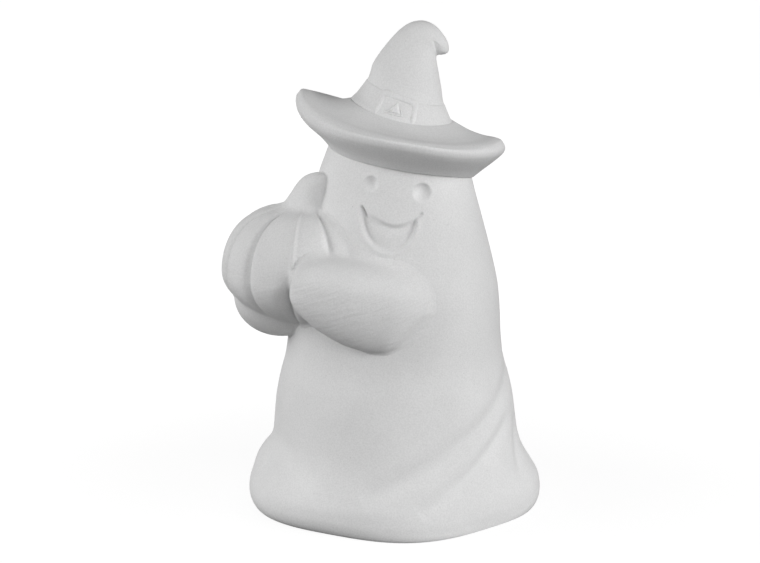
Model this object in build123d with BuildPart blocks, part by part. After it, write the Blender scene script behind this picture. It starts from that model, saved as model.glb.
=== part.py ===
from build123d import *
import math
import os

# A smiling ghost under a draped sheet, in white unglazed earthenware. It wears a witch's hat and
# holds a pumpkin at its right side. The pieces are cast or pressed one by one and joined with slip.
# The origin is the middle of the foot, +Z is up and the face looks towards -Y. Sizes in millimetres.

# Clay thicknesses and the joints between pieces
wall = 4.0
floor_thickness = 4.0
pour_hole_radius = 12.0
slip_gap = 0.25
vent_radius = 3.0

# Draped sheet, from the foot upwards: each rise is measured from the stop below it
foot_radius = 41.6
hem_rise = 5.5
hem_radius = 46.0
skirt_rise = 14.5
skirt_radius = 38.2
hip_rise = 24.0
hip_radius = 34.6
waist_rise = 16.0
waist_radius = 32.8
shoulder_rise = 24.0
shoulder_radius = 28.5
cheek_rise = 17.0
cheek_radius = 23.8
crown_rise = 17.0
crown_of_head_radius = 18.0
fold_count = 5
fold_depth = 1.3
fold_fade_height = 42.0
fold_turn = 8.0

# Face, measured from the seat of the hat down
face_offset = 0.3
face_roll = 8.0
eye_drop = 3.2
eye_spacing = 15.0
eye_width = 4.6
eye_depth = 1.2
mouth_drop = 7.2
mouth_width = 17.4
mouth_height = 12.0
lip_sag = 4.2
mouth_depth = 1.0

# Hat: level sections tipped to the ghost's left, on an upright axis
hat_cover = 11.2
hat_offset = 2.1
hat_tilt = 12.5
brim_radius = 32.4
brim_rise = 11.7
brim_edge = 2.0
brim_overhang = 0.8
brim_dish = 4.4
brim_edge_sweep = 70.0
seat_margin = 0.6
collar_socket_radius = 15.5
collar_height = 4.0
collar_wall = 3.5
brim_bore_radius = 9.5
brim_top_thickness = 4.0
register_height = 2.5
hat_crown_radius = 15.6
hat_crown_wall = 3.2
taper_length = 27.0
tip_root_radius = 3.6
tip_length = 6.0
tip_end_radius = 1.9
curl_angle = 190.0
curl_power = 3.4
end_fullness = 0.97
cavity_tip_radius = 2.5

# Band and buckle, laid on the crown as thin strips of clay
band_height = 6.0
band_thickness = 0.8
buckle_offset = -1.8
buckle_height = 3.4
buckle_width = 11.4
buckle_length = 7.6
buckle_bar = 2.0
buckle_thickness = 0.8
tongue_width = 3.2
tongue_length = 5.4
tongue_thickness = 1.2

# Pumpkin, bedded in the ghost's right side
pumpkin_radius = 26.6
pumpkin_height = 39.0
pumpkin_drop = 9.5
pumpkin_turn = -80.5
pumpkin_bedding = 3.6
rib_count = 12
rib_depth = 1.8
rib_turn = -10.0
pole_angle = 75.0
pumpkin_top_fullness = 0.65
pumpkin_base_fullness = 0.9
stem_height = 10.5
stem_root_radius = 10.0
stem_top_radius = 5.4
stem_lean = 4.5
stem_bedding = 2.0
stem_flare = 1.5

# Arms: blunt sleeves, each with a mitten of a hand
left_elbow_bedding = 6.0
left_elbow_turn = 22.0
left_elbow_height = 15.0
left_elbow_depth = 11.0
left_elbow_drop = 11.5
left_hand_height = 10.0
left_hand_depth = 8.0
left_hand_reach = 3.0
left_hand_overlap = 4.0
right_elbow_bedding = 9.0
right_elbow_turn = -100.0
right_elbow_height = 9.0
right_elbow_depth = 11.0
right_elbow_drop = 17.0
right_hand_height = 7.5
right_hand_depth = 10.0
right_hand_drop = 12.5
right_hand_inset = 4.4
limb_fullness = 3.2

# How finely the curved forms are sectioned
outline_points = 40
pumpkin_sections = 11
limb_sections = 12
crown_sections = 16
brim_edge_sections = 4
stem_sections = 3
path_steps = 240

# Places that follow from the sizes above
hem_height = hem_rise
skirt_height = hem_height + skirt_rise
hip_height = skirt_height + hip_rise
waist_height = hip_height + waist_rise
shoulder_height = waist_height + shoulder_rise
cheek_height = shoulder_height + cheek_rise
head_height = cheek_height + crown_rise
sheet_stops = [
    (0.0, foot_radius),
    (hem_height, hem_radius),
    (skirt_height, skirt_radius),
    (hip_height, hip_radius),
    (waist_height, waist_radius),
    (shoulder_height, shoulder_radius),
    (cheek_height, cheek_radius),
    (head_height, crown_of_head_radius),
]
hat_seat_height = head_height - hat_cover
crown_seat_height = hat_seat_height + brim_rise + brim_dish
hat_crown_length = taper_length + tip_length
eye_height = hat_seat_height - eye_drop
pumpkin_level = shoulder_height - pumpkin_drop


def sheet_radius(height):
    """Mean radius of the sheet at a height, on a smooth curve through the stops."""
    last = len(sheet_stops) - 1
    span = max(stop for stop in range(last) if sheet_stops[stop][0] <= max(height, 0.0))
    slopes = []
    for stop in (span, span + 1):
        low = sheet_stops[max(stop - 1, 0)]
        high = sheet_stops[min(stop + 1, last)]
        slopes.append((high[1] - low[1]) / (high[0] - low[0]))
    start, end = sheet_stops[span], sheet_stops[span + 1]
    length = end[0] - start[0]
    part = (height - start[0]) / length
    rise = part * part * (3 - 2 * part)
    leaving = part * (1 - part) ** 2 * length * slopes[0]
    arriving = part * part * (part - 1) * length * slopes[1]
    return start[1] + (end[1] - start[1]) * rise + leaving + arriving


def around(radius, turn, height):
    """Point at a radius from the upright axis, turned from the front towards the ghost's left."""
    angle = math.radians(turn)
    return Vector(radius * math.sin(angle), -radius * math.cos(angle), height)


def sheet_outline(height, inset):
    """Outline of the sheet at a height: a circle with soft folds that fade out upwards."""
    fade = max(0.0, 1 - height / fold_fade_height) ** 2
    points = []
    for step in range(outline_points):
        turn = 360.0 * step / outline_points
        wave = math.cos(math.radians(fold_count * (turn - fold_turn)))
        point = around(sheet_radius(height) - inset + fold_depth * fade * wave, turn, 0.0)
        points.append((point.X, point.Y))
    return points


def sheet_form(inset, low):
    """Solid bounded by the sheet drawn in by an inset, from a low level to the top of the head."""
    levels = [stop[0] for stop in sheet_stops]
    middles = [(below + above) / 2 for below, above in zip(levels, levels[1:])]
    heights = [low] + sorted(level for level in levels + middles if level > low + slip_gap)
    with BuildPart() as form:
        for height in heights:
            with BuildSketch(Plane.XY.offset(height)):
                with BuildLine():
                    Spline(sheet_outline(height, inset), periodic=True)
                make_face()
        loft()
    return form.part


def hat_plane(height):
    """Section plane of the hat, tipped about the upright axis at a height."""
    tilt = math.radians(hat_tilt)
    return Plane(
        origin=(hat_offset, 0, height),
        x_dir=(math.cos(tilt), 0, -math.sin(tilt)),
        z_dir=(math.sin(tilt), 0, math.cos(tilt)),
    )


def hat_tube(radius, low, high):
    """Round core of the hat between two levels of its axis, with both ends along the hat's sections."""
    with BuildPart() as form:
        for height in (low, high):
            with BuildSketch(hat_plane(height)):
                Circle(radius)
        loft(ruled=True)
    return form.part


def front_plane(offset, distance, height, roll):
    """Upright plane in front of the ghost, facing the viewer and rolled clockwise."""
    angle = math.radians(roll)
    return Plane(
        origin=(offset, -distance, height),
        x_dir=(math.cos(angle), 0, -math.sin(angle)),
        z_dir=(0, -1, 0),
    )


def crown_lean(length):
    """Angle in degrees by which the crown of the hat leans after a length of its curling axis."""
    return curl_angle * (length / hat_crown_length) ** curl_power


def crown_radius(length):
    """Radius of the hat's crown at a length of its axis: one taper to the tip, a slower one after."""
    if length < taper_length:
        return hat_crown_radius + (tip_root_radius - hat_crown_radius) * length / taper_length
    taper = (tip_end_radius - tip_root_radius) * (length - taper_length) / tip_length
    past_round = max(0.0, 1 - (hat_crown_length - length) / tip_end_radius)
    return (tip_root_radius + taper) * math.sqrt(1 - end_fullness * past_round ** 2)


def crown_plane(length):
    """Section plane across the curling axis, level with the seat at the foot of the crown."""
    across = hat_offset
    up = crown_seat_height
    step = length / path_steps
    for index in range(path_steps):
        lean = math.radians(crown_lean((index + 0.5) * step))
        across += step * math.sin(lean)
        up += step * math.cos(lean)
    tilt = math.radians(crown_lean(length) + hat_tilt * (1 - length / hat_crown_length) ** 2)
    return Plane(
        origin=(across, 0, up),
        x_dir=(math.cos(tilt), 0, -math.sin(tilt)),
        z_dir=(math.sin(tilt), 0, math.cos(tilt)),
    )


def crown_form(extra, end, share):
    """Solid along the crown's axis from its foot to an end length, grown outwards by an extra. It takes
    one in a share of the crown's sections."""
    with BuildPart() as form:
        for section in range(crown_sections // share + 1):
            length = end * math.sin(math.pi / 2 * section / (crown_sections // share))
            with BuildSketch(crown_plane(length)):
                Circle(crown_radius(length) + extra)
        loft()
    return form.part


def pumpkin_form(inset):
    """Ribbed pumpkin drawn in by an inset: level rings of bulging arcs from pole to pole."""
    with BuildPart() as form:
        for section in range(pumpkin_sections):
            angle = math.radians(pole_angle * (2 * section / (pumpkin_sections - 1) - 1))
            rise = (pumpkin_height / 2 - inset) * math.sin(angle) / math.sin(math.radians(pole_angle))
            fullness = pumpkin_top_fullness if angle > 0 else pumpkin_base_fullness
            crest = (pumpkin_radius - inset) * math.cos(angle) ** fullness
            groove = crest * (1 - rib_depth / pumpkin_radius)
            with BuildSketch(Plane(pumpkin_centre + Vector(0, 0, rise))):
                with BuildLine():
                    for rib in range(rib_count):
                        turns = [rib_turn + 360.0 * (rib + part) / rib_count for part in (0, 0.5, 1)]
                        start = around(groove, turns[0], 0)
                        middle = around(crest, turns[1], 0)
                        ThreePointArc(start, middle, around(groove, turns[2], 0))
                make_face()
        loft()
    return form.part


def limb_form(root, tip, root_size, tip_size):
    """Blunt limb from root to tip: oval sections, of half height and half depth, with rounded ends."""
    along = (tip - root).normalized()
    up = (Vector(0, 0, 1) - along * along.Z).normalized()
    with BuildPart() as form:
        for section in range(limb_sections + 1):
            place = -math.cos(math.pi * section / limb_sections) * (1 - 1 / limb_sections ** 2)
            part = (place + 1) / 2
            swell = (1 - abs(place) ** limb_fullness) ** (1 / limb_fullness)
            half_height = (root_size[0] + (tip_size[0] - root_size[0]) * part) * swell
            half_depth = (root_size[1] + (tip_size[1] - root_size[1]) * part) * swell
            with BuildSketch(Plane(origin=root + (tip - root) * part, x_dir=up, z_dir=along)):
                Ellipse(half_height, half_depth)
        loft()
    return form.part


pumpkin_distance = sheet_radius(pumpkin_level) - pumpkin_bedding
pumpkin_centre = around(pumpkin_distance, pumpkin_turn, pumpkin_level)
sheet = sheet_form(0.0, 0.0)
whole_pumpkin = pumpkin_form(0.0)
whole_crown = crown_form(0.0, hat_crown_length, 1)
os.makedirs("parts", exist_ok=True)

# Smile: an oval cut off above by the upper lip, sunk to an even depth into the sheet
lip_radius = (mouth_width ** 2 / 4 + lip_sag ** 2) / (2 * lip_sag)
with BuildPart() as mouth:
    with BuildSketch(front_plane(face_offset, sheet_radius(0), eye_height, face_roll)):
        with Locations((0, -mouth_drop)):
            Ellipse(mouth_width / 2, mouth_height)
        with Locations((0, -mouth_drop + lip_radius - lip_sag)):
            Circle(lip_radius, mode=Mode.SUBTRACT)
    extrude(amount=-sheet_radius(0))
    add(sheet_form(mouth_depth, 0.0), mode=Mode.SUBTRACT)

# Cavity of the sheet, closed by the floor and by the flat top of the head
with BuildPart() as cavity:
    add(sheet_form(wall, floor_thickness))
    split(bisect_by=hat_plane(hat_seat_height - wall), keep=Keep.BOTTOM)

# Sheet: hollow, with a pour hole in the floor, a face, and a collar on the head that takes the hat
collar_radius = collar_socket_radius - slip_gap
collar_top = hat_seat_height + collar_height
eye_ball_radius = (eye_width ** 2 / 4 + eye_depth ** 2) / (2 * eye_depth)
with BuildPart() as ghost_body:
    add(sheet)
    split(bisect_by=hat_plane(hat_seat_height), keep=Keep.BOTTOM)
    add(cavity.part, mode=Mode.SUBTRACT)
    add(hat_tube(collar_radius, hat_seat_height - wall / 2, collar_top))
    add(hat_tube(collar_radius - collar_wall, hat_seat_height - 2 * wall, collar_top), mode=Mode.SUBTRACT)
    with BuildSketch(Plane.XY):
        Circle(pour_hole_radius)
    extrude(amount=floor_thickness, mode=Mode.SUBTRACT)
    with BuildSketch(Plane(Vector(0, 0, pumpkin_level), z_dir=around(1, pumpkin_turn, 0))):
        Circle(vent_radius)
    extrude(amount=sheet_radius(pumpkin_level) + wall, mode=Mode.SUBTRACT)
    add(mouth.part, mode=Mode.SUBTRACT)
    for side in (-1, 1):
        roll = math.radians(face_roll)
        eye_x = face_offset + side * eye_spacing / 2 * math.cos(roll)
        eye_z = eye_height - side * eye_spacing / 2 * math.sin(roll)
        eye_y = -math.sqrt(sheet_radius(eye_z) ** 2 - eye_x ** 2)
        with Locations((eye_x, eye_y - eye_ball_radius + eye_depth, eye_z)):
            Sphere(eye_ball_radius, mode=Mode.SUBTRACT)
ghost_body.part.label = "ghost_body"
export_step(ghost_body.part, "parts/ghost_body.step")

# Brim: a dished ring with a rounded edge, hollow below for the collar, with a ring for the crown
brim_profile = [(0.0, sheet_radius(hat_seat_height) + brim_overhang)]
for section in range(brim_edge_sections + 1):
    angle = math.radians(brim_edge_sweep * (2 * section / brim_edge_sections - 1))
    edge_inset = brim_edge * (1 - math.cos(angle))
    brim_profile.append((brim_rise + brim_edge * math.sin(angle), brim_radius - edge_inset))
brim_profile.append((brim_rise + brim_dish, hat_crown_radius + band_thickness + seat_margin))
register_top = crown_seat_height + register_height
with BuildPart() as hat_brim:
    for lift, radius in brim_profile:
        with BuildSketch(hat_plane(hat_seat_height + lift)):
            Circle(radius)
    loft(ruled=True)
    add(crown_form(-hat_crown_wall - slip_gap, register_height, 4))
    add(
        hat_tube(collar_socket_radius, hat_seat_height, crown_seat_height - brim_top_thickness),
        mode=Mode.SUBTRACT,
    )
    add(hat_tube(brim_bore_radius, hat_seat_height, register_top + register_height), mode=Mode.SUBTRACT)
hat_brim.part.label = "hat_brim"
export_step(hat_brim.part, "parts/hat_brim.step")

# Crown: a hollow cone, open below, whose solid tip curls over to the ghost's left
cavity_taper = hat_crown_radius - hat_crown_wall - cavity_tip_radius
cavity_length = cavity_taper * taper_length / (hat_crown_radius - tip_root_radius)
with BuildPart() as hat_crown:
    add(whole_crown)
    add(crown_form(-hat_crown_wall, cavity_length, 2), mode=Mode.SUBTRACT)
hat_crown.part.label = "hat_crown"
export_step(hat_crown.part, "parts/hat_crown.step")

# Band: a strip round the foot of the crown
banded_crown = crown_form(band_thickness, band_height, 4)
with BuildPart() as hat_band:
    add(banded_crown)
    add(whole_crown, mode=Mode.SUBTRACT)
hat_band.part.label = "hat_band"
export_step(hat_band.part, "parts/hat_band.step")

# Buckle: a frame and a tongue pressed onto the front of the band
buckle_reach = hat_crown_radius + brim_radius
buckle_plane = front_plane(
    hat_offset + buckle_offset, buckle_reach, crown_seat_height + buckle_height, hat_tilt
)
with BuildPart() as buckle_frame:
    with BuildSketch(buckle_plane):
        Rectangle(buckle_width, buckle_length)
        Rectangle(buckle_width - 2 * buckle_bar, buckle_length - 2 * buckle_bar, mode=Mode.SUBTRACT)
    extrude(amount=-buckle_reach)
    add(
        crown_form(band_thickness + buckle_thickness, band_height + buckle_length, 2),
        mode=Mode.INTERSECT,
    )
    add(banded_crown, mode=Mode.SUBTRACT)
    add(whole_crown, mode=Mode.SUBTRACT)
buckle_frame.part.label = "buckle_frame"
export_step(buckle_frame.part, "parts/buckle_frame.step")

with BuildPart() as buckle_tongue:
    with BuildSketch(buckle_plane):
        with BuildLine():
            Polyline(
                (-tongue_length / 2, 0),
                (tongue_length / 4, tongue_width / 2),
                (tongue_length / 2, 0),
                (tongue_length / 4, -tongue_width / 2),
                close=True,
            )
        make_face()
    extrude(amount=-buckle_reach)
    add(
        crown_form(band_thickness + tongue_thickness, band_height + buckle_length, 2),
        mode=Mode.INTERSECT,
    )
    add(banded_crown, mode=Mode.SUBTRACT)
    add(whole_crown, mode=Mode.SUBTRACT)
    add(buckle_frame.part, mode=Mode.SUBTRACT)
buckle_tongue.part.label = "buckle_tongue"
export_step(buckle_tongue.part, "parts/buckle_tongue.step")

# Pumpkin: a hollow ribbed shell, cut to sit against the sheet
with BuildPart() as pumpkin:
    add(whole_pumpkin)
    add(pumpkin_form(wall), mode=Mode.SUBTRACT)
    add(sheet, mode=Mode.SUBTRACT)
pumpkin.part.label = "pumpkin"
export_step(pumpkin.part, "parts/pumpkin.step")

# Stem: a fat stub that flares at its root and leans against the head
stem_foot = pumpkin_centre + Vector(0, 0, pumpkin_height / 2 - stem_bedding)
with BuildPart() as pumpkin_stem:
    for section in range(stem_sections + 1):
        part = section / stem_sections
        flare = (stem_root_radius - stem_top_radius) * (1 - part) ** stem_flare
        lift = Vector(stem_lean * part, 0, (stem_height + stem_bedding) * part)
        with BuildSketch(Plane(stem_foot + lift)):
            Circle(stem_top_radius + flare)
    loft()
    add(whole_pumpkin, mode=Mode.SUBTRACT)
    add(sheet, mode=Mode.SUBTRACT)
pumpkin_stem.part.label = "pumpkin_stem"
export_step(pumpkin_stem.part, "parts/pumpkin_stem.step")

# Left arm: comes round the front of the sheet and lays its hand on the pumpkin
left_elbow_level = pumpkin_level - left_elbow_drop
left_elbow_distance = sheet_radius(left_elbow_level) - left_elbow_bedding
left_elbow = around(left_elbow_distance, left_elbow_turn, left_elbow_level)
left_hand = pumpkin_centre + Vector(-left_hand_overlap, -pumpkin_radius - left_hand_reach, 0)
with BuildPart() as left_arm:
    add(
        limb_form(
            left_elbow,
            left_hand,
            (left_elbow_height, left_elbow_depth),
            (left_hand_height, left_hand_depth),
        )
    )
    add(sheet, mode=Mode.SUBTRACT)
    add(whole_pumpkin, mode=Mode.SUBTRACT)
left_arm.part.label = "left_arm"
export_step(left_arm.part, "parts/left_arm.step")

# Right arm: cups the pumpkin from below
right_elbow_level = pumpkin_level - right_elbow_drop
right_elbow_distance = sheet_radius(right_elbow_level) - right_elbow_bedding
right_elbow = around(right_elbow_distance, right_elbow_turn, right_elbow_level)
right_hand = pumpkin_centre + Vector(right_hand_inset - pumpkin_radius, 0, -right_hand_drop)
with BuildPart() as right_arm:
    add(
        limb_form(
            right_elbow,
            right_hand,
            (right_elbow_height, right_elbow_depth),
            (right_hand_height, right_hand_depth),
        )
    )
    add(sheet, mode=Mode.SUBTRACT)
    add(whole_pumpkin, mode=Mode.SUBTRACT)
right_arm.part.label = "right_arm"
export_step(right_arm.part, "parts/right_arm.step")
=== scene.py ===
import bpy
import numpy as np
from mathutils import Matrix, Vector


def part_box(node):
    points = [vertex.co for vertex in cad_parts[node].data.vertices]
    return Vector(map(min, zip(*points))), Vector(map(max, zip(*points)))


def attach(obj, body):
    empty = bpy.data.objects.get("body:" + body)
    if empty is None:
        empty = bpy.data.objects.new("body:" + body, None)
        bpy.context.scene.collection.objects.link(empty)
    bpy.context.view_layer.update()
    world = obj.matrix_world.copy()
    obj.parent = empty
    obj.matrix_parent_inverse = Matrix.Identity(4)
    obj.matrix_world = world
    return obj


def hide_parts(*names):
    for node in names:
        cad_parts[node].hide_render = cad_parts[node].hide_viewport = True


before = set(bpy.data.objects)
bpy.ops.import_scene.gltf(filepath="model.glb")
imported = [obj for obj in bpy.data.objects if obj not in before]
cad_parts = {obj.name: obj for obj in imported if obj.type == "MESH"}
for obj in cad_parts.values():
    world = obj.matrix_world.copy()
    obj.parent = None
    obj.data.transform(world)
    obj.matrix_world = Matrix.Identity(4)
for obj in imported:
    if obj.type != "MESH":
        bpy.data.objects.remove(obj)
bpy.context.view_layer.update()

# Ghost body: a sheet draped over head and shoulders, hollow, slip-cast in white earthenware.
# The face is pressed in while the clay is leather-hard, and the slip ran out through the foot.
# The sizes of all pieces are in millimetres, and turns are in degrees from the front towards +X.
millimetre = 0.001
wall = 4.0
pour_hole_radius = 12.0
hem_curl = [
    # turn, and the height over which the hem curls under
    (-180.0, 4.0), (-120.0, 5.0), (-80.0, 6.0), (-45.0, 5.2), (-22.0, 4.8), (0.0, 3.0), (15.0, 1.8),
    (40.0, 1.4), (62.0, 2.0), (85.0, 5.0), (120.0, 4.6), (180.0, 4.0),
]
foot_radius = [
    # turn, and the radius of the edge that stands on the table
    (-180.0, 42.6), (-90.0, 41.4), (-45.0, 41.6), (-22.0, 41.8), (0.0, 42.0), (20.0, 42.2), (40.0, 42.8),
    (62.0, 43.4), (85.0, 42.4), (120.0, 42.6), (180.0, 42.6),
]
front_turn = 25.0
front_change = [
    # height, and how much farther out than the profile the sheet hangs at the front
    (0.0, -3.3), (4.6, -3.3), (8.3, -3.2), (11.7, -1.8), (15.0, -0.2), (18.3, 1.0), (22.0, 1.5),
    (28.0, 1.0), (34.6, 0.5), (41.0, 0.2), (47.6, 0.0), (60.0, 0.0),
]
sheet_profile = [
    # height, and the radius of the sheet
    (4.6, 46.0), (8.3, 45.4), (11.7, 43.4), (15.0, 41.2), (18.3, 39.4), (22.0, 38.2), (28.0, 37.5),
    (34.6, 36.8), (41.0, 35.5), (47.6, 33.8), (54.0, 33.0), (60.5, 32.7), (70.0, 31.8), (79.5, 29.7),
    (89.0, 27.2), (98.0, 24.7), (104.5, 23.0), (111.0, 20.6), (118.0, 18.0),
]
lobe_count = 5
lobe_depth = 1.3
lobe_turn = 8.0
lobe_fade_height = 42.0
fold_unroll_radius = 38.0
folds = [
    # upper end (turn, height), lower end (turn, height), bow, depth (a ridge if negative), half width
    (94.0, 46.4, -14.0, 12.2, 0.6, 1.1, 3.0),
    (68.0, 30.8, 10.0, 7.8, 0.3, 1.2, 2.4),
    (80.0, 29.0, 66.0, 11.0, 0.0, 0.9, 2.6),
    (-76.0, 24.0, -26.0, 10.5, -2.5, 0.4, 3.6),
    (-72.0, 14.6, -134.0, 14.6, 0.0, -1.8, 4.2),
    (128.0, 47.0, 196.0, 17.0, 1.5, 0.9, 3.6),
    (-112.0, 42.0, -176.0, 15.0, 1.0, 0.9, 3.4),
    (116.0, 30.0, 150.0, 11.0, 0.0, 0.8, 2.8),
]
hat_seat_height = 106.8
hat_axis_x = 2.1
hat_tilt = np.radians(12.5)
head_rise = 1.8
head_crest = 2.2
head_opening_radius = 11.7
foot_chamfer = 0.6
foot_ring_radius = 27.0
eyes = [
    # place across the face, height, radius and depth
    (-7.1, 104.1, 2.2, 1.3),
    (7.9, 101.5, 2.75, 1.6),
]
eye_roundness = 0.85
lip_curve = [
    # place across the face, and the height of the upper lip
    (-11.0, 99.5), (-10.0, 97.6), (-8.6, 95.8), (-6.3, 94.4), (-4.8, 93.7), (-3.2, 93.0), (-1.4, 92.4),
    (0.6, 92.2), (2.6, 92.5), (4.4, 93.3), (6.8, 94.8), (8.9, 96.0), (9.6, 96.4),
]
mouth_centre = (-1.5, 94.0)
mouth_left_reach = 8.6
mouth_right_reach = 7.8
mouth_drop = 9.15
mouth_depth = 1.6
mouth_floor_share = 0.4
mouth_floor_reach = 2.2
mouth_wall = (-0.3, 0.7)
lip_wall = (-0.5, 1.0)
lip_width = 1.2
lip_left_widening = 1.2
lip_widening_start = (-3.0, -7.0)
lip_slope_step = 0.2
mouth_rim = 0.6
mouth_rim_right_share = 0.6
mouth_rim_change = (4.0, -4.0)
mouth_rim_place = -0.5
mouth_rim_inside = 0.5
mouth_rim_outside = 1.0
mouth_rim_fade = 3.0
mouth_corners = [
    # upper or inner end, lower or outer end (across and height), depth and half width
    (-10.1, 97.6, -8.6, 94.2, 1.2, 0.45),
    (5.6, 93.9, 8.2, 95.6, 0.8, 0.45),
]
face_foot_height = 82.0
front_crowding = 0.55
sheet_columns = 320
hem_rows = 16
skirt_rows = 105
head_rows = 91
inside_rows = 40


def through(stops, place):
    """Smooth curve through (place, value) stops: cubics whose slope at a stop is that of the parabola
    through it and its neighbours. Beyond the first and the last stop their values hold."""
    where, value = np.array(stops, float).T
    slope = np.gradient(value, where)
    span = np.clip(np.searchsorted(where, place, side="right") - 1, 0, len(where) - 2)
    length = where[span + 1] - where[span]
    part = np.clip((place - where[span]) / length, 0, 1)
    rise = part * part * (3 - 2 * part)
    leaving = part * (1 - part) ** 2 * length * slope[span]
    arriving = part * part * (part - 1) * length * slope[span + 1]
    return value[span] + (value[span + 1] - value[span]) * rise + leaving + arriving


def slope_of(stops, place, step):
    """Slope of the smooth curve through stops: its rise from a step before a place to a step after it,
    over the way between."""
    return (through(stops, place + step) - through(stops, place - step)) / (2 * step)


def ease(low, high, place):
    """Rises smoothly from 0 at low to 1 at high: three squares less two cubes of the part between."""
    part = np.clip((place - low) / (high - low), 0, 1)
    return part * part * (3 - 2 * part)


def groove(across, along, start, end, bow, half_width):
    """Bell-shaped groove about the line from start to end, bowed sideways, that fades out at both ends."""
    run = np.hypot(end[0] - start[0], end[1] - start[1])
    ahead = ((end[0] - start[0]) / run, (end[1] - start[1]) / run)
    part = ((across - start[0]) * ahead[0] + (along - start[1]) * ahead[1]) / run
    aside = (across - start[0]) * ahead[1] - (along - start[1]) * ahead[0]
    inside = np.clip(part, 0, 1)
    fade = np.sqrt(np.clip(4 * inside * (1 - inside), 0, 1))
    return fade * np.exp(-((aside - 4 * bow * inside * (1 - inside)) / half_width) ** 2)


def drape(turn, height):
    """Radius of the sheet before its folds: the profile, with a fuller front that flares less."""
    front = np.clip(np.cos(np.radians(turn - front_turn)), 0, 1) ** 2
    return through(sheet_profile, height) + front * through(front_change, height)


def sheet_radius(turn, height):
    """Radius of the sheet: a quarter ellipse at the hem, the profile above it, five lobes that fade
    upwards, and slanting folds laid out as grooves on the unrolled sheet."""
    curl = through(hem_curl, turn)
    under = np.clip(1 - height / curl, 0, 1)
    radius = drape(turn, np.maximum(height, curl))
    radius = radius - (drape(turn, curl) - through(foot_radius, turn)) * (1 - np.sqrt(1 - under ** 2))
    fade = np.clip(1 - height / lobe_fade_height, 0, 1) ** 2
    radius = radius + lobe_depth * fade * np.cos(np.radians(lobe_count * (turn - lobe_turn)))
    for upper_turn, upper, lower_turn, lower, bow, depth, half_width in folds:
        middle = (upper_turn + lower_turn) / 2
        from_middle = (turn - middle + 180) % 360 - 180
        reach = np.radians((upper_turn - lower_turn) / 2) * fold_unroll_radius
        unrolled = np.radians(from_middle) * fold_unroll_radius
        radius = radius - depth * groove(unrolled, height, (reach, upper), (-reach, lower), bow, half_width)
    return radius


def around(radius, turn, height):
    """Points at a radius from the upright axis, at a turn from the front and at a height."""
    angle = np.radians(turn)
    return np.stack(np.broadcast_arrays(radius * np.sin(angle), -radius * np.cos(angle), height), axis=-1)


def face_relief(across, height):
    """Depth pressed into the face: a round dimple for each eye, and a smile bounded by an oval and the
    upper lip. Its floor swells back out from a groove along its edge, the lower edge has a raised rim,
    and there is a crease at each corner."""
    depth = np.zeros_like(height)
    for eye_x, eye_z, eye_radius, eye_depth in eyes:
        reach = np.hypot(across - eye_x, height - eye_z) / eye_radius
        depth = depth + eye_depth * np.clip(1 - reach ** 2, 0, 1) ** eye_roundness
    side = across - mouth_centre[0]
    oval = np.hypot(
        side / np.where(side < 0, mouth_left_reach, mouth_right_reach),
        np.minimum(height - mouth_centre[1], 0) / mouth_drop,
    )
    inside_oval = (1 - oval) * mouth_left_reach
    lip_slope = slope_of(lip_curve, across, lip_slope_step)
    below_lip = (through(lip_curve, across) - height) / np.sqrt(1 + lip_slope ** 2)
    inside = np.minimum(inside_oval, below_lip)
    floor = np.exp(-np.clip(inside, 0, None) / mouth_floor_reach)
    floor = mouth_floor_share + (1 - mouth_floor_share) * floor
    width = lip_width + lip_left_widening * ease(*lip_widening_start, across)
    smile = mouth_depth * ease(*mouth_wall, inside_oval) * ease(*lip_wall, below_lip / width)
    depth = depth + smile * floor
    from_rim = inside_oval - mouth_rim_place
    rim = np.exp(-(from_rim / np.where(from_rim > 0, mouth_rim_inside, mouth_rim_outside)) ** 2)
    rim = rim * ease(0, mouth_rim_fade, below_lip)
    rim_share = mouth_rim_right_share + (1 - mouth_rim_right_share) * ease(*mouth_rim_change, side)
    depth = depth - mouth_rim * rim_share * rim
    for start_x, start_z, end_x, end_z, crease_depth, half_width in mouth_corners:
        crease = groove(across, height, (start_x, start_z), (end_x, end_z), 0.0, half_width)
        depth = depth + crease_depth * crease
    return depth


def cast(name, grid, ends):
    """Mesh of four-sided faces on a grid of rows whose columns close round. The rows close round too
    when ends is "loop", and each end row is fanned to its middle when ends is "poles"."""
    rows, columns = grid.shape[:2]
    points = grid.reshape(-1, 3)
    index = np.arange(rows * columns).reshape(rows, columns)
    lower = index if ends == "loop" else index[:-1]
    upper = np.roll(index, -1, axis=0) if ends == "loop" else index[1:]
    corners = [lower, np.roll(lower, -1, axis=1), np.roll(upper, -1, axis=1), upper]
    quads = np.stack(corners, axis=-1).reshape(-1, 4)
    fans = np.zeros((0, 3), int)
    if ends == "poles":
        points = np.vstack([points, grid[0].mean(axis=0), grid[-1].mean(axis=0)])
        first = np.stack([np.roll(index[0], -1), index[0], np.full(columns, rows * columns)], axis=-1)
        last = np.stack([index[-1], np.roll(index[-1], -1), np.full(columns, rows * columns + 1)], axis=-1)
        fans = np.vstack([first, last])
    triangles = np.vstack([quads[:, [0, 1, 2]], quads[:, [0, 2, 3]], fans])
    corner = points[triangles] - points.mean(axis=0)
    volume = np.einsum("ij,ij->", corner[:, 0], np.cross(corner[:, 1], corner[:, 2]))
    faces = quads.tolist() + fans.tolist()
    if volume < 0:
        faces = quads[:, ::-1].tolist() + fans[:, ::-1].tolist()
    mesh = bpy.data.meshes.new(name)
    mesh.from_pydata((points * millimetre).tolist(), [], faces)
    mesh.polygons.foreach_set("use_smooth", np.ones(len(faces), bool))
    mesh.update()
    piece = bpy.data.objects.new(name, mesh)
    bpy.context.scene.collection.objects.link(piece)
    return piece


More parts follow.
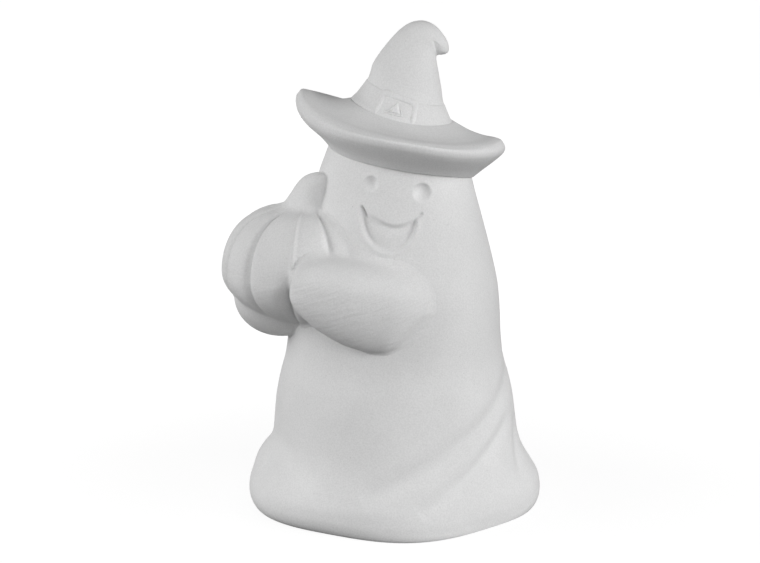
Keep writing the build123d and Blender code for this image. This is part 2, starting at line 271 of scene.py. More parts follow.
def noise(tree, vector, scale, detail):
    """Output of a cloudy pattern of a scale and a detail, laid out on a vector."""
    node = tree.nodes.new("ShaderNodeTexNoise")
    node.inputs["Scale"].default_value = scale
    node.inputs["Detail"].default_value = detail
    tree.links.new(vector, node.inputs["Vector"])
    return node.outputs["Fac"]


def remap(tree, value, source, target, curve="LINEAR"):
    """Output of a node that carries a value from a source range onto a target range, and clamps it."""
    node = tree.nodes.new("ShaderNodeMapRange")
    node.interpolation_type = curve
    node.inputs["From Min"].default_value = source[0]
    node.inputs["From Max"].default_value = source[1]
    node.inputs["To Min"].default_value = target[0]
    node.inputs["To Max"].default_value = target[1]
    tree.links.new(value, node.inputs["Value"])
    return node.outputs["Result"]


def combine(tree, operation, first, second):
    """Output of a node that joins two values by an operation, such as their product."""
    node = tree.nodes.new("ShaderNodeMath")
    node.operation = operation
    tree.links.new(first, node.inputs[0])
    tree.links.new(second, node.inputs[1])
    return node.outputs["Value"]


def bisque(name, brushed=0.0, painted_foot_light=0.0):
    """Fired, unglazed white clay: matt, faintly mottled, finely grained, with scattered pinholes, with
    the streaks of the fettling sponge where it was brushed, and painted lighter towards the foot in place
    of light thrown up from the table. The tones of grain, pinholes and the painted foot light multiply the
    clay's colour. Its bump is the grain less the pinholes, plus the streaks. Patterns are laid out in
    metres."""
    material = bpy.data.materials.new(name)
    material.use_nodes = True
    tree = material.node_tree
    shader = tree.nodes["Principled BSDF"]
    shader.inputs["Roughness"].default_value = 0.92
    shader.inputs["Specular IOR Level"].default_value = 0.25
    place = tree.nodes.new("ShaderNodeTexCoord").outputs["Object"]

    clay = tree.nodes.new("ShaderNodeValToRGB")
    clay.color_ramp.elements[0].position = 0.3
    clay.color_ramp.elements[0].color = (0.70, 0.70, 0.70, 1)
    clay.color_ramp.elements[1].position = 0.7
    clay.color_ramp.elements[1].color = (0.745, 0.745, 0.745, 1)
    tree.links.new(noise(tree, place, scale=55, detail=4), clay.inputs["Fac"])

    grain = noise(tree, place, scale=2200, detail=2)
    grain_tone = remap(tree, grain, (0.3, 0.7), (0.94, 1.045))

    pits = tree.nodes.new("ShaderNodeTexVoronoi")
    pits.inputs["Scale"].default_value = 560
    tree.links.new(place, pits.inputs["Vector"])
    pit_spot = remap(tree, pits.outputs["Distance"], (0.04, 0.13), (1, 0))
    pit_pick = remap(tree, pits.outputs["Color"], (0.4, 0.9), (0, 1))
    pit = combine(tree, "MULTIPLY", pit_spot, pit_pick)
    pit_tone = remap(tree, pit, (0, 1), (1, 0.8))

    axes = tree.nodes.new("ShaderNodeSeparateXYZ")
    tree.links.new(place, axes.inputs["Vector"])
    # Painted light: the clay is painted lighter near the foot, in place of light bounced up from the table.
    painted_foot_light_tone = remap(tree, axes.outputs["Z"], (0.005, 0.06), (1 + painted_foot_light, 1), "SMOOTHSTEP")
    tone = combine(tree, "MULTIPLY", combine(tree, "MULTIPLY", grain_tone, pit_tone), painted_foot_light_tone)
    colour = tree.nodes.new("ShaderNodeVectorMath")
    colour.operation = "SCALE"
    tree.links.new(clay.outputs["Color"], colour.inputs["Vector"])
    tree.links.new(tone, colour.inputs["Scale"])
    tree.links.new(colour.outputs["Vector"], shader.inputs["Base Color"])

    streak_place = tree.nodes.new("ShaderNodeMapping")
    streak_place.vector_type = "TEXTURE"
    streak_place.inputs["Rotation"].default_value = (0, np.radians(-20), 0)
    streak_place.inputs["Scale"].default_value = (0.008, 0.008, 0.001)
    tree.links.new(place, streak_place.inputs["Vector"])
    streak_height = tree.nodes.new("ShaderNodeMath")
    streak_height.operation = "MULTIPLY"
    streak_height.inputs[1].default_value = brushed
    tree.links.new(noise(tree, streak_place.outputs["Vector"], scale=1, detail=3), streak_height.inputs[0])
    pitted = combine(tree, "SUBTRACT", grain, pit)
    bump = tree.nodes.new("ShaderNodeBump")
    bump.inputs["Strength"].default_value = 0.25
    bump.inputs["Distance"].default_value = 0.00012
    tree.links.new(combine(tree, "ADD", pitted, streak_height.outputs["Value"]), bump.inputs["Height"])
    tree.links.new(bump.outputs["Normal"], shader.inputs["Normal"])
    return material


def install(piece, node, material):
    """Gives a piece its clay and puts it in the place of its node on the one rigid body."""
    piece.data.materials.append(material)
    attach(piece, "root")
    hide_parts(node)


even_turn = np.linspace(-np.pi, np.pi, sheet_columns, endpoint=False)
turn = np.degrees(even_turn - front_crowding * np.sin(even_turn))[None, :]
curl = through(hem_curl, turn)
head_reach = through(sheet_profile, hat_seat_height) * np.sin(np.radians(turn)) - hat_axis_x
head_top = hat_seat_height + head_rise + head_crest * np.cos(np.radians(turn)) ** 2
head_top = head_top - np.tan(hat_tilt) * head_reach
under_hem = curl * (1 - np.cos(np.linspace(0, np.pi / 2, hem_rows)))[:, None]
skirt = curl + (face_foot_height - curl) * np.linspace(0, 1, skirt_rows + 1)[1:, None]
head = face_foot_height + (head_top - face_foot_height) * np.linspace(0, 1, head_rows + 1)[1:, None]
outer_height = np.vstack([under_hem, skirt, head])
outer_radius = sheet_radius(turn + 0 * outer_height, outer_height)
front = np.cos(np.radians(turn)) > 0
outer_radius = outer_radius - front * face_relief(outer_radius * np.sin(np.radians(turn)), outer_height)
inner_height = head_top - wall + (wall - head_top + wall) * np.linspace(0, 1, inside_rows)[:, None]
inner_radius = drape(turn, np.maximum(inner_height, wall)) - wall
plain = np.ones_like(turn)
opening_radius = np.vstack([head_opening_radius * plain, head_opening_radius * plain])
opening_height = np.vstack([head_top, head_top - wall])
foot_radii = [pour_hole_radius, pour_hole_radius, pour_hole_radius + foot_chamfer, foot_ring_radius]
foot_heights = [wall, foot_chamfer, 0.0, 0.0]
sheet_radii = np.vstack([outer_radius, opening_radius, inner_radius, np.outer(foot_radii, plain)])
sheet_heights = np.vstack([outer_height, opening_height, inner_height, np.outer(foot_heights, plain)])
ghost_body = cast("ghost_sheet", around(sheet_radii, turn, sheet_heights), "loop")
# The sheet's clay is painted a tenth lighter at its foot, a painted stand-in for light from the table.
install(ghost_body, "ghost_body", bisque("bisque_sheet", painted_foot_light=0.1))

# Pumpkin: a ribbed shell of white earthenware, cast by itself and luted to the ghost's side with slip.
# Twelve ribs meet in narrow grooves from the stem to the underside. In front the seam of the mould
# stands in the place of a groove above the middle, and the clay is hollowed beside the hand below it.
pumpkin_low, pumpkin_high = np.array(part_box("pumpkin")) / millimetre
pumpkin_radius = 26.6
pumpkin_centre = (pumpkin_low + pumpkin_high) / 2
pumpkin_centre[0] = pumpkin_low[0] + pumpkin_radius
pumpkin_half_height = 20.2
pumpkin_base_depth = 16.2
pumpkin_base_slant = 0.085
pumpkin_top_fullness = 0.65
pumpkin_base_fullness = 0.9
rib_count = 12
rib_turn = -12.0
rib_groove = 0.085
rib_sharpness = 3.0
rib_softness = 0.002
rib_top_share = 0.7
seam_turn = -8.6
seam_height = 0.8
seam_half_width = 0.7
seam_start = (-3.0, 5.0)
hand_hollow = 2.0
hand_hollow_turn = -14.0
hand_hollow_spread = 5.0
hand_hollow_start = (0.0, -7.0)
stem_dip = 0.025
stem_dip_reach = 11.0
pumpkin_fillet = 1.2
pumpkin_anchor = np.array([-16.0, 0, 0])
sheet_slope_step = 1.0
least_out = 0.1
least_gradient = 0.02
least_normal = 1e-9
bedding = 1.0
halvings = 14
last_latitude = 89.0
pumpkin_rows = 150
pumpkin_columns = 288


def rib_reach(turn, rise):
    """Share of the pumpkin's radius at a turn and a rise: one on a crest, less in the V of a narrow
    groove. The groove in front is pinched up to a seam above the middle, and hollowed out below it."""
    crest = np.sqrt(np.sin(np.radians(rib_count / 2 * (turn - rib_turn))) ** 2 + rib_softness)
    reach = 1 - rib_groove * np.clip(1 - crest, 0, 1) ** rib_sharpness
    pinched = ease(*seam_start, rise)
    reach = reach + pinched * (1 - reach) * (np.abs(turn - rib_turn) < 180 / rib_count)
    beside = np.radians(turn - seam_turn) * pumpkin_radius
    reach = reach + pinched * seam_height / pumpkin_radius * np.exp(-(beside / seam_half_width) ** 2)
    hollow = ease(*hand_hollow_start, rise) * np.exp(-((turn - hand_hollow_turn) / hand_hollow_spread) ** 2)
    return reach - hand_hollow / pumpkin_radius * hollow


def pumpkin_reach(across, out, rise, ribs):
    """Half height of the pumpkin: less in the grooves above its middle and round the stem, and deeper
    towards the sheet below it."""
    top = pumpkin_half_height * (1 - rib_top_share * (1 - ribs))
    top = top * (1 - stem_dip * np.exp(-(out / stem_dip_reach) ** 4))
    return np.where(rise > 0, top, pumpkin_base_depth + pumpkin_base_slant * across)


def sheet_gap(point):
    """Distance of points from the sheet, negative inside: the radial gap times the slope's cosine."""
    turn = np.degrees(np.arctan2(point[..., 0], -point[..., 1]))
    radial = np.hypot(point[..., 0], point[..., 1]) - sheet_radius(turn, point[..., 2])
    slope = slope_of(sheet_profile, point[..., 2], sheet_slope_step)
    return radial / np.sqrt(1 + slope ** 2)


def pumpkin_gap(point):
    """Distance of points from the pumpkin, negative inside: its equation over its gradient. The distance
    from its axis and the gradient are kept clear of zero."""
    from_centre = point - pumpkin_centre
    turn = np.degrees(np.arctan2(from_centre[..., 0], -from_centre[..., 1]))
    rise = from_centre[..., 2]
    fullness = np.where(rise > 0, pumpkin_top_fullness, pumpkin_base_fullness)
    out = np.maximum(np.hypot(from_centre[..., 0], from_centre[..., 1]), least_out)
    ribs = rib_reach(turn, rise)
    ring = (out / (pumpkin_radius * ribs)) ** (2 / fullness)
    across = 2 / fullness * ring / out
    reach = pumpkin_reach(from_centre[..., 0], out, rise, ribs)
    along = 2 * rise / reach ** 2
    return (ring + (rise / reach) ** 2 - 1) / np.maximum(np.hypot(across, along), least_gradient)


def outward(grid):
    """Unit normals of a grid whose columns close round: the cross product of its two directions."""
    along = np.roll(grid, -1, axis=1) - np.roll(grid, 1, axis=1)
    normal = np.cross(along, np.gradient(grid, axis=0))
    normal = normal / np.maximum(np.linalg.norm(normal, axis=-1, keepdims=True), least_normal)
    from_middle = grid - grid.mean(axis=1, keepdims=True)
    return normal * np.sign(np.sum(normal * from_middle))


def lute(grid, gap, fillet):
    """Slip smoothed into a joint: each point moves out along its normal, by at most the fillet, onto the
    smooth union of the piece and its neighbour, found by halving."""
    normal = outward(grid)
    low = np.zeros(grid.shape[:2])
    high = low + fillet
    for _ in range(halvings):
        middle = (low + high) / 2
        space = gap(grid + middle[..., None] * normal)
        meeting = np.maximum(fillet - np.abs(space - middle), 0) ** 2 / (4 * fillet)
        buried = np.minimum(space, middle) - meeting < 0
        low = np.where(buried, middle, low)
        high = np.where(buried, high, middle)
    return grid + low[..., None] * normal


def tuck(grid, gap, anchor):
    """Buried points drawn towards an anchor in the open until they lie just under the neighbour's skin."""
    low = np.zeros(grid.shape[:2])
    high = np.ones(grid.shape[:2])
    deep = gap(grid) < -bedding
    for _ in range(halvings):
        middle = (low + high) / 2
        buried = gap(grid + middle[..., None] * (anchor - grid)) < -bedding
        low = np.where(buried, middle, low)
        high = np.where(buried, high, middle)
    return grid + np.where(deep, high, 0)[..., None] * (anchor - grid)


latitude = np.radians(np.linspace(-last_latitude, last_latitude, pumpkin_rows))[:, None]
turn = np.linspace(-180, 180, pumpkin_columns, endpoint=False)[None, :]
fullness = np.where(latitude > 0, pumpkin_top_fullness, pumpkin_base_fullness)
ribs = rib_reach(turn, pumpkin_half_height * np.sin(latitude))
out = pumpkin_radius * np.cos(latitude) ** fullness * ribs
shell = around(out, turn, 0.0)
shell[..., 2] = pumpkin_reach(shell[..., 0], out, latitude, ribs) * np.sin(latitude)
shell = lute(shell + pumpkin_centre, sheet_gap, pumpkin_fillet)
shell = tuck(shell, sheet_gap, pumpkin_centre + pumpkin_anchor)
pumpkin = cast("pumpkin_shell", shell, "poles")
install(pumpkin, "pumpkin", bisque("bisque_pumpkin", brushed=7.0))

# Pumpkin stem: a fat stub of clay that spreads onto the pumpkin and leans against the head.
# It is pressed on while soft, so its root flows into the ribs.
stem_outline = [
    # height, and the radius of the stub
    (90.0, 11.6), (92.6, 10.2), (95.1, 8.2), (98.2, 6.8), (101.3, 5.6), (103.0, 4.7), (104.2, 3.5),
    (104.9, 2.1), (105.2, 0.9),
]
stem_foot_height = 93.0
stem_lean = (3.2, -4.2)
stem_lean_rise = 12.0
stem_root_fillet = 2.2
stem_head_fillet = 0.5
stem_anchor = (-6.0, -2.0)
stem_rows = 90
stem_columns = 120

stem_root_height = stem_outline[0][0]
stem_length = stem_outline[-1][0] - stem_root_height
rise = stem_root_height + stem_length * np.sin(np.linspace(0, np.pi / 2, stem_rows))[:, None]
turn = np.linspace(-180, 180, stem_columns, endpoint=False)[None, :]
stub = around(through(stem_outline, rise), turn, rise)
lean = np.clip((rise - stem_foot_height) / stem_lean_rise, 0, 1)
stem_x = pumpkin_centre[0] + stem_lean[0] * lean
stem_y = pumpkin_centre[1] + stem_lean[1] * lean
stub = lute(stub + np.stack([stem_x, stem_y, 0 * rise], axis=-1), pumpkin_gap, stem_root_fillet)
stub = lute(stub, sheet_gap, stem_head_fillet)
stub = tuck(stub, sheet_gap, np.stack([stem_x + stem_anchor[0], stem_y + stem_anchor[1], rise], axis=-1))
pumpkin_stem = cast("pumpkin_stub", stub, "poles")
install(pumpkin_stem, "pumpkin_stem", bisque("bisque_stem"))

# Right arm: a mitten of a hand that cups the pumpkin from below, pressed from a ball of solid clay.
# It is luted with slip to the sheet and to the pumpkin, which hide all but its outer end.
right_middle = np.array([-34.0, -6.0, 67.0])
right_half_length = 15.3
right_half_depth = 10.5
right_half_height = 13.0
right_inward_turn = np.radians(14.0)
right_fillet = 0.8
right_anchor = np.array([-38.0, -7.0, 57.0])
right_rows = 120
right_columns = 128


def neighbours_gap(point):
    """Distance of points from the sheet and the pumpkin, whichever is nearer."""
    return np.minimum(sheet_gap(point), pumpkin_gap(point))


latitude = np.radians(np.linspace(-last_latitude, last_latitude, right_rows))[:, None]
angle = np.radians(np.linspace(0, 360, right_columns, endpoint=False))[None, :]
lengthwise = right_half_length * np.sin(latitude) + 0 * angle
depthwise = right_half_depth * np.cos(latitude) * np.cos(angle)
mitten = np.stack([
    right_middle[0] + lengthwise * np.cos(right_inward_turn) - depthwise * np.sin(right_inward_turn),
    right_middle[1] + lengthwise * np.sin(right_inward_turn) + depthwise * np.cos(right_inward_turn),
    right_middle[2] + right_half_height * np.cos(latitude) * np.sin(angle),
], axis=-1)
mitten = lute(mitten, neighbours_gap, right_fillet)
mitten = tuck(mitten, neighbours_gap, right_anchor)
right_arm = cast("right_mitten", mitten, "poles")
install(right_arm, "right_arm", bisque("bisque_right_arm", brushed=0.6))

# Left arm: a blunt sleeve of solid clay that comes round the front and lays its mitten on the pumpkin.
# Flat in front and rolled under, it is smoothed into the sheet at the elbow and along its top.
arm_tip_turn = -46.0
arm_end_turn = 26.0
arm_tip_round = 7.0
arm_top = [
    # turn, and the height of the upper edge
    (-44.0, 82.6), (-38.0, 83.4), (-30.0, 83.2), (-20.0, 82.4), (-5.0, 80.7), (8.0, 79.2), (18.0, 77.5),
    (27.0, 76.0),
]
arm_bottom = [
    # turn, and the height of the lower edge
    (-46.0, 69.5), (-42.0, 66.8), (-38.0, 64.2), (-34.0, 61.9), (-30.0, 60.2), (-24.0, 57.8), (-16.0, 55.9),
    (-9.0, 55.0), (-3.0, 54.7), (5.0, 56.4), (12.0, 59.6), (18.0, 63.5), (26.0, 70.0),
]
arm_front = [
    # turn, and the radius of the front
    (-46.0, 46.6), (-38.0, 47.2), (-30.0, 46.2), (-20.0, 43.4), (-10.0, 40.8), (0.0, 38.4), (7.0, 36.2),
    (13.0, 34.2), (17.0, 32.6), (20.0, 30.6), (23.0, 27.4), (26.0, 24.0),
]
arm_upper_half = 10.0
arm_half_depth = 9.0
arm_top_depth = 13.0
arm_top_fullness = 2.5
arm_base_fullness = 1.9
arm_top_fillet = 3.4
arm_base_fillet = 1.0
arm_elbow_fillet = 2.4
arm_hand_fillet = 0.7
arm_tip_fillet = 3.0
# turns over which the fillets of the elbow, the hand and the tip come in
arm_elbow_turns = (2.0, 18.0)
arm_hand_turns = (-18.0, -28.0)
arm_tip_turns = (-32.0, -42.0)
# sines of the angle round the sleeve over which its depth and its fillets change towards the top
arm_depth_change = (0.0, 0.6)
arm_fillet_change = (-0.2, 0.5)
arm_top_change = (0.2, 0.8)
arm_slip_gap = 0.04
arm_anchor_clearance = 1.0
arm_rows = 180
arm_columns = 160


def signed_power(value, exponent):
    """The size of a value raised to an exponent, with the sign of the value."""
    return np.sign(value) * np.abs(value) ** exponent


along = (1 - np.cos(np.pi * np.linspace(0, 1, arm_rows + 2)[1:-1, None])) / 2
turn = arm_end_turn + (arm_tip_turn - arm_end_turn) * along
angle = np.radians(np.linspace(0, 360, arm_columns, endpoint=False))[None, :]
upper = np.sin(angle)
fullness = np.where(upper > 0, arm_top_fullness, arm_base_fullness)
up = signed_power(upper, 2 / fullness)
out = signed_power(np.cos(angle), 2 / fullness)
tip_part = np.clip((arm_tip_turn + arm_tip_round - turn) / arm_tip_round, 0, 1)
elbow_part = np.clip((turn - arm_end_turn + arm_tip_round) / arm_tip_round, 0, 1)
closing = np.sqrt(1 - np.maximum(tip_part, elbow_part) ** 2)
middle_height = through(arm_top, turn) - arm_upper_half
half_height = np.where(up > 0, arm_upper_half, middle_height - through(arm_bottom, turn))
half_depth = arm_half_depth + (arm_top_depth - arm_half_depth) * ease(*arm_depth_change, upper)
arm_radius = through(arm_front, turn) - half_depth * (1 - out * closing)
sleeve = around(arm_radius, turn, middle_height + half_height * up * closing)
on_top = ease(*arm_top_change, upper)
fillet = arm_base_fillet + (arm_top_fillet - arm_base_fillet) * ease(*arm_fillet_change, upper)
fillet = fillet + (arm_hand_fillet - fillet) * ease(*arm_hand_turns, turn) * (1 - on_top)
fillet = fillet + (arm_elbow_fillet - fillet) * ease(*arm_elbow_turns, turn)
fillet = fillet + (arm_tip_fillet - fillet) * ease(*arm_tip_turns, turn) * on_top
sleeve = lute(sleeve, lambda point: neighbours_gap(point) + arm_slip_gap, fillet)
sheet_clear = sheet_radius(turn, middle_height) + arm_anchor_clearance
arm_anchor = around(np.maximum(through(arm_front, turn), sheet_clear), turn, middle_height)
sleeve = tuck(sleeve, neighbours_gap, arm_anchor)
left_arm = cast("left_sleeve", sleeve, "poles")
install(left_arm, "left_arm", bisque("bisque_left_arm", brushed=9.0))

# Hat brim: a thick soft-edged disc of cast clay, turned up at the sides and hollow below.
# A socket in it fits over the collar on the head, and its sections are tipped to the ghost's left.
# Angles on the hat are in radians from its right outline, with the front at minus a quarter turn.
brim_bore_radius = 9.5
brim_socket_radius = 15.5
brim_socket_top = 12.1
brim_profile = [
    # distance from the axis and level above the seat, from the crown outwards and back under
    (16.2, 16.2), (18.5, 15.3), (22.0, 14.2), (26.0, 13.6), (29.2, 13.7), (31.2, 13.3), (32.3, 12.0),
    (32.0, 10.4), (30.9, 8.9), (28.8, 6.7), (26.2, 4.0), (24.2, 1.9), (22.6, 0.2),
]
brim_lift = [
    # angle in degrees, and how far the edge stands above its section
    (-200.0, 1.0), (-180.0, 2.0), (-155.0, -0.6), (-131.0, -2.3), (-106.0, -1.9), (-90.0, -1.3),
    (-57.0, -0.6), (-34.0, 0.2), (-9.0, 0.5), (8.0, -0.8), (30.0, -3.4), (55.0, -4.2), (90.0, -2.9),
    (118.0, -1.4), (137.0, -0.3), (160.0, 1.0), (180.0, 2.0), (205.0, -0.6),
]
brim_lift_start = 17.0
brim_lift_width = 15.0
brim_lift_power = 1.6
brim_foot_levels = (-0.6, 9.0)
brim_foot_lift = 1.1
brim_right_foot_lift = 1.1
brim_right_foot_angle = np.radians(-38.0)
brim_right_foot_power = 4
brim_top_level = 11.9
brim_edge_radii = (31.0, 32.3)
hat_saddle = 1.7
brim_thinning = 1.2
brim_thinning_radii = (16.0, 30.0)
brim_side_swell = 0.5
brim_swell_radii = (18.0, 30.0)
brim_left_belly = 2.2
brim_belly_radius = 23.0
brim_belly_level = 7.5
brim_belly_spread = 3.0
brim_belly_top = 12.0
brim_rows = 90
brim_columns = 240


def through_steps(values, step):
    """Smooth curve through values that stand at the steps 0, 1, 2 and so on."""
    return through(np.column_stack([np.arange(len(values)), values]), step)


def hat_point(distance, angle, level):
    """Points of the hat at a distance and an angle from its axis and a level above its seat, on sections
    that are tipped sideways by the hat's tilt."""
    across = distance * np.cos(angle)
    parts = (
        hat_axis_x + across * np.cos(hat_tilt),
        distance * np.sin(angle),
        hat_seat_height + level - across * np.sin(hat_tilt),
    )
    return np.stack(np.broadcast_arrays(*parts), axis=-1)


angle = np.linspace(-np.pi, np.pi, brim_columns, endpoint=False)[None, :]
step = np.linspace(0, len(brim_profile) - 1, brim_rows)[:, None]
profile_distance, profile_level = np.array(brim_profile).T
socket = np.array([
    (brim_socket_radius, profile_level[-1]), (brim_socket_radius, brim_socket_top),
    (brim_bore_radius, brim_socket_top), (brim_bore_radius, profile_level[0]),
])
distance = np.vstack([through_steps(profile_distance, step), socket[:, :1]])
level = np.vstack([through_steps(profile_level, step), socket[:, 1:]])
outside = distance > brim_socket_radius
outer_part = np.clip((distance - brim_lift_start) / brim_lift_width, 0, 1) ** brim_lift_power
lift = through(brim_lift, np.degrees(angle)) * outer_part
foot_part = outside * (1 - ease(*brim_foot_levels, level))
lift = lift + brim_foot_lift * foot_part * np.sin(angle) ** 2
right_part = np.clip(np.cos(angle - brim_right_foot_angle), 0, 1) ** brim_right_foot_power
lift = lift + brim_right_foot_lift * foot_part * right_part
top_part = (level > brim_top_level) * outside * (1 - ease(*brim_edge_radii, distance))
drop = hat_saddle + (brim_thinning - hat_saddle) * ease(*brim_thinning_radii, distance)
swell = brim_side_swell * ease(*brim_swell_radii, distance)
lift = lift + top_part * (swell * np.cos(angle) ** 2 - drop * np.sin(angle) ** 2)
belly_part = (distance > brim_belly_radius) * (level < brim_belly_top)
belly_part = belly_part * np.exp(-((level - brim_belly_level) / brim_belly_spread) ** 2)
belly = brim_left_belly * np.clip(-np.cos(angle), 0, 1) ** 2 * belly_part
disc = hat_point(distance + belly, angle, level + lift)
hat_brim = cast("hat_brim_disc", disc, "loop")
install(hat_brim, "hat_brim", bisque("bisque_brim", brushed=0.4))

# Hat crown: a soft cone of cast clay that stands on the brim and is joined to it with slip.
# Its tip was bent over while the clay was plastic, so it folds in a crease. The sections fan out
# about that crease, between the left and the right outline.
crown_stations = [
    # left or outer outline (x, z), right or inner outline (x, z), half depth
    (-12.6, 126.4, 17.4, 118.6, 15.4),
    (-8.3, 132.3, 14.9, 124.9, 12.2),
    (-6.6, 137.1, 14.1, 129.8, 10.7),
    (-4.2, 140.8, 13.4, 133.7, 9.2),
    (-1.3, 144.4, 12.9, 136.4, 7.7),
    (1.5, 147.3, 12.6, 138.0, 6.6),
    (4.5, 149.3, 12.5, 138.8, 5.8),
    (7.6, 150.0, 12.5, 139.2, 5.2),
    (10.3, 149.5, 12.6, 139.4, 4.7),
    (12.7, 148.0, 12.7, 139.5, 4.2),
    (14.6, 145.8, 12.9, 139.6, 3.6),
    (15.9, 143.6, 13.3, 139.7, 2.9),
    (16.3, 141.7, 13.9, 139.7, 2.1),
    (16.1, 140.6, 14.6, 139.8, 1.2),
    (15.5, 140.1, 15.2, 139.9, 0.3),
]
crown_crease = 0.7
crown_crease_start = (7.4, 8.2)
crown_crease_end = (8.2, 10.9)
crown_saddle_steps = 2.2
crown_rows = 190
crown_columns = 176


def crown_point(step, angle, extra):
    """Points of the crown at a step along its stations: ellipses between the two outlines, grown
    outwards by an extra, dipped at the front and the back of the foot, and set back behind the crease."""
    rails = [through_steps(rail, step) for rail in np.array(crown_stations).T]
    left_x, left_z, right_x, right_z, depth = rails
    half = np.hypot(right_x - left_x, right_z - left_z) / 2
    across = (half + extra) / half * np.cos(angle)
    behind = ease(*crown_crease_start, step) * (1 - ease(*crown_crease_end, step))
    set_back = crown_crease * behind * np.sqrt(np.clip(np.cos(angle), 0, 1))
    dip = hat_saddle * (1 - ease(0, crown_saddle_steps, step)) * np.sin(angle) ** 2
    parts = (
        (left_x + right_x) / 2 + across * (right_x - left_x) / 2,
        (depth + extra - set_back) * np.sin(angle),
        (left_z + right_z) / 2 + across * (right_z - left_z) / 2 - dip,
    )
    return np.stack(np.broadcast_arrays(*parts), axis=-1)


crown_angle = np.linspace(-np.pi, np.pi, crown_columns, endpoint=False)[None, :]
step = np.linspace(0, len(crown_stations) - 1, crown_rows)[:, None]
hat_crown = cast("hat_cone", crown_point(step, crown_angle, 0.0), "poles")
install(hat_crown, "hat_crown", bisque("bisque_crown"))

# Hat band: a thin strip of clay laid round the foot of the crown, with a soft lip at its lower edge.
# It is pressed on while the crown is soft, so it follows the crown all the way round.
band_top_step = 1.0
band_thickness = 0.3
band_lip = 0.5
band_lip_steps = 0.35
band_edge_power = 0.8
band_face_power = 0.6
band_rows = 40

loop = np.linspace(0, 2 * np.pi, band_rows, endpoint=False)[:, None]
upward = signed_power(np.sin(loop), band_edge_power)
outward_part = signed_power(np.cos(loop), band_face_power)
band_step = band_top_step * (1 + upward) / 2
lip = band_lip * (1 - ease(0, band_lip_steps, band_step)) * (outward_part > 0)
strip = crown_point(band_step, crown_angle, band_thickness * outward_part + lip)
hat_band = cast("hat_strip", strip, "loop")
install(hat_band, "hat_band", bisque("bisque_band"))

# Buckle frame: a soft rectangle of clay bars, rounded above and pressed flat onto the front of the band.
# Its lower bar comes down past the foot of the crown and lies on the brim.
buckle_turn = np.radians(-99.0)
buckle_step = 0.46
buckle_half_width = 5.5
buckle_offset = -0.5
buckle_half_length = 3.5
buckle_bar = 0.85
buckle_height = 0.45
buckle_spread = 0.02
buckle_shear = 0.1
buckle_squareness = 7
buckle_rows = 160
buckle_columns = 20
crown_step_length = 6.4
crown_front_radius = 14.0
brim_run = np.array([0, 1.0, 0.35])


def on_band(across, upwards, extra):
    """Points on the front of the band: across is a turn round the crown and upwards a step along it, both
    in millimetres from the buckle's middle, and below the foot of the crown they run out along the brim."""
    step = buckle_step + upwards / crown_step_length
    below = np.minimum(step, 0)[..., None] * crown_step_length * brim_run
    return crown_point(np.maximum(step, 0), buckle_turn + across / crown_front_radius, extra) + below


path = np.linspace(0, 2 * np.pi, buckle_rows, endpoint=False)[:, None]
section = np.linspace(0, 2 * np.pi, buckle_columns, endpoint=False)[None, :]
bar = buckle_bar * np.cos(section)
bulge = np.sin(section)
bar_top = band_thickness + buckle_height * np.where(bulge > 0, bulge ** 2, bulge)
frame_y = (buckle_half_length + bar) * signed_power(np.sin(path), 2 / buckle_squareness)
frame_x = (buckle_half_width + bar) * signed_power(np.cos(path), 2 / buckle_squareness)
frame_x = frame_x * (1 + buckle_spread * frame_y) + buckle_shear * frame_y + buckle_offset
buckle_frame = cast("buckle_bars", on_band(frame_x, frame_y, bar_top), "loop")
install(buckle_frame, "buckle_frame", bisque("bisque_buckle"))

# Buckle tongue: a small three-sided wedge of clay, pressed onto the band inside the frame.
# A raised middle stands on a wider foot, which has a rim along its lower edge.
tongue_middle = (-0.9, 0.2)
tongue_edges = [
    # the way that an edge faces, in degrees from across the band, and how far it is from the middle
    (-86.0, 1.06), (26.0, 1.39), (139.0, 1.06),
]
tongue_corner_power = 8
tongue_skirt = 1.5
tongue_foot = 0.35
tongue_foot_edge = (0.93, 1.0)
tongue_plateau = 0.6
tongue_plateau_edge = (0.4, 0.68)
tongue_rim = 0.4
tongue_rim_facing = np.radians(-80.0)
tongue_rim_reach = 0.86
tongue_rim_half_width = 0.09
tongue_sink = 0.3
tongue_first_reach = 0.03
tongue_rows = 50
tongue_columns = 96

reach = np.linspace(tongue_first_reach, 1, tongue_rows)[:, None]
spin = np.linspace(0, 2 * np.pi, tongue_columns, endpoint=False)[None, :]
nearness = [np.clip(np.cos(spin - np.radians(facing)), 0, 1) / apart for facing, apart in tongue_edges]
rounded = sum(share ** tongue_corner_power for share in nearness)
tongue_outline = tongue_skirt * rounded ** (-1 / tongue_corner_power)
tongue_x = tongue_middle[0] + tongue_outline * reach * np.cos(spin)
tongue_y = tongue_middle[1] + tongue_outline * reach * np.sin(spin)
tongue_rise = tongue_foot * (1 - ease(*tongue_foot_edge, reach))
tongue_rise = tongue_rise + tongue_plateau * (1 - ease(*tongue_plateau_edge, reach))
rim_part = np.sqrt(np.clip(np.cos(spin - tongue_rim_facing), 0, 1))
rim_part = rim_part * np.exp(-((reach - tongue_rim_reach) / tongue_rim_half_width) ** 2)
tongue_rise = tongue_rise + tongue_rim * rim_part
tongue_top = on_band(tongue_x, tongue_y, band_thickness - tongue_sink + tongue_rise)
tongue_base = on_band(tongue_x, tongue_y, -tongue_sink + 0 * tongue_x)
wedge = np.concatenate([tongue_top, tongue_base[::-1]], axis=0)
buckle_tongue = cast("buckle_wedge", wedge, "poles")
install(buckle_tongue, "buckle_tongue", bisque("bisque_tongue"))

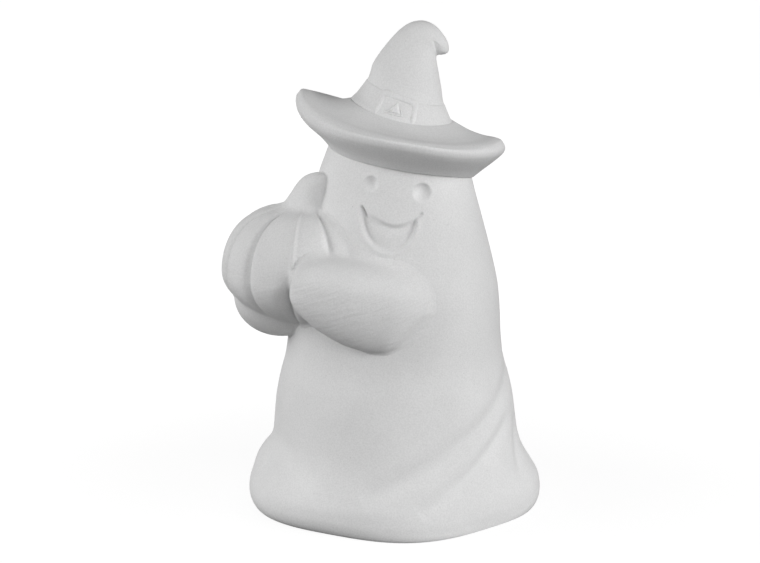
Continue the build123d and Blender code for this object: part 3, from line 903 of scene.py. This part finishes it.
# Floor and light: a pale matt table that fades to white, and a large soft box at each side.
# Weaker boxes in front and behind open the shadows, and the white room adds a little light all round.
# Sizes in this section and the next are in metres.
scene = bpy.context.scene
scene.view_settings.view_transform = "Standard"
floor_half = 3.0
floor_corners = [
    (-floor_half, -floor_half, 0), (floor_half, -floor_half, 0),
    (floor_half, floor_half, 0), (-floor_half, floor_half, 0),
]
floor_mesh = bpy.data.meshes.new("floor")
floor_mesh.from_pydata(floor_corners, [], [(0, 1, 2, 3)])
floor = bpy.data.objects.new("floor", floor_mesh)
scene.collection.objects.link(floor)
table = bpy.data.materials.new("pale_table")
table.use_nodes = True
tree = table.node_tree
cover = tree.nodes["Principled BSDF"]
cover.inputs["Base Color"].default_value = (0.15, 0.15, 0.15, 1)
cover.inputs["Roughness"].default_value = 1
cover.inputs["Specular IOR Level"].default_value = 0
cover.inputs["Emission Color"].default_value = (1, 1, 1, 1)
place = tree.nodes.new("ShaderNodeTexCoord")
away = tree.nodes.new("ShaderNodeVectorMath")
away.operation = "LENGTH"
tree.links.new(place.outputs["Object"], away.inputs[0])
fade = remap(tree, away.outputs["Value"], (0.06, 0.24), (0.9, 1.0), "SMOOTHSTEP")
ray = tree.nodes.new("ShaderNodeLightPath")
glow = combine(tree, "MULTIPLY", ray.outputs["Is Camera Ray"], fade)
tree.links.new(glow, cover.inputs["Emission Strength"])
floor_mesh.materials.append(table)

world = bpy.data.worlds.new("studio")
scene.world = world
world.use_nodes = True
tree = world.node_tree
fill = tree.nodes["Background"]
fill.inputs["Color"].default_value = (1, 1, 1, 1)
ray = tree.nodes.new("ShaderNodeLightPath")
seen = combine(tree, "MAXIMUM", ray.outputs["Is Camera Ray"], ray.outputs["Is Glossy Ray"])
seen = combine(tree, "MAXIMUM", seen, ray.outputs["Is Transmission Ray"])
tree.links.new(remap(tree, seen, (0, 1), (0.05, 1.0)), fill.inputs["Strength"])

lamp_distance = 0.9
lamp_size = 0.7
lamp_aim_height = 0.07


def soft_box(name, turn, rise, power):
    """Square lamp that faces the figure from a turn round it and a rise above level, in degrees."""
    lamp = bpy.data.lights.new(name, "AREA")
    lamp.size = lamp_size
    lamp.energy = power
    holder = bpy.data.objects.new(name, lamp)
    angle = np.radians(turn)
    lift = np.radians(rise)
    holder.location = (
        lamp_distance * np.sin(angle) * np.cos(lift),
        -lamp_distance * np.cos(angle) * np.cos(lift),
        lamp_aim_height + lamp_distance * np.sin(lift),
    )
    holder.rotation_euler = (np.pi / 2 - lift, 0, angle)
    scene.collection.objects.link(holder)


soft_box("right_box", turn=64.0, rise=17.0, power=5.8)
soft_box("left_box", turn=-80.0, rise=17.0, power=5.8)
soft_box("front_box", turn=8.0, rise=22.0, power=3.0)
soft_box("back_box", turn=180.0, rise=25.0, power=1.2)

# Camera: a long lens that stands straight in front of the figure and looks a little down on it.
# It is 0.6 m away, four times the height of the figure.
camera_rise = np.radians(12.8)
camera_distance = 0.59915
camera_target = np.array([-0.004468, 0.0, 0.069562])
camera = bpy.data.cameras.new("camera")
camera.sensor_width = 36
camera.lens = 91.67
viewer = bpy.data.objects.new("camera", camera)
viewer.location = camera_target + camera_distance * np.array([0, -np.cos(camera_rise), np.sin(camera_rise)])
viewer.rotation_euler = (np.pi / 2 - camera_rise, 0, 0)
scene.collection.objects.link(viewer)
scene.camera = viewer
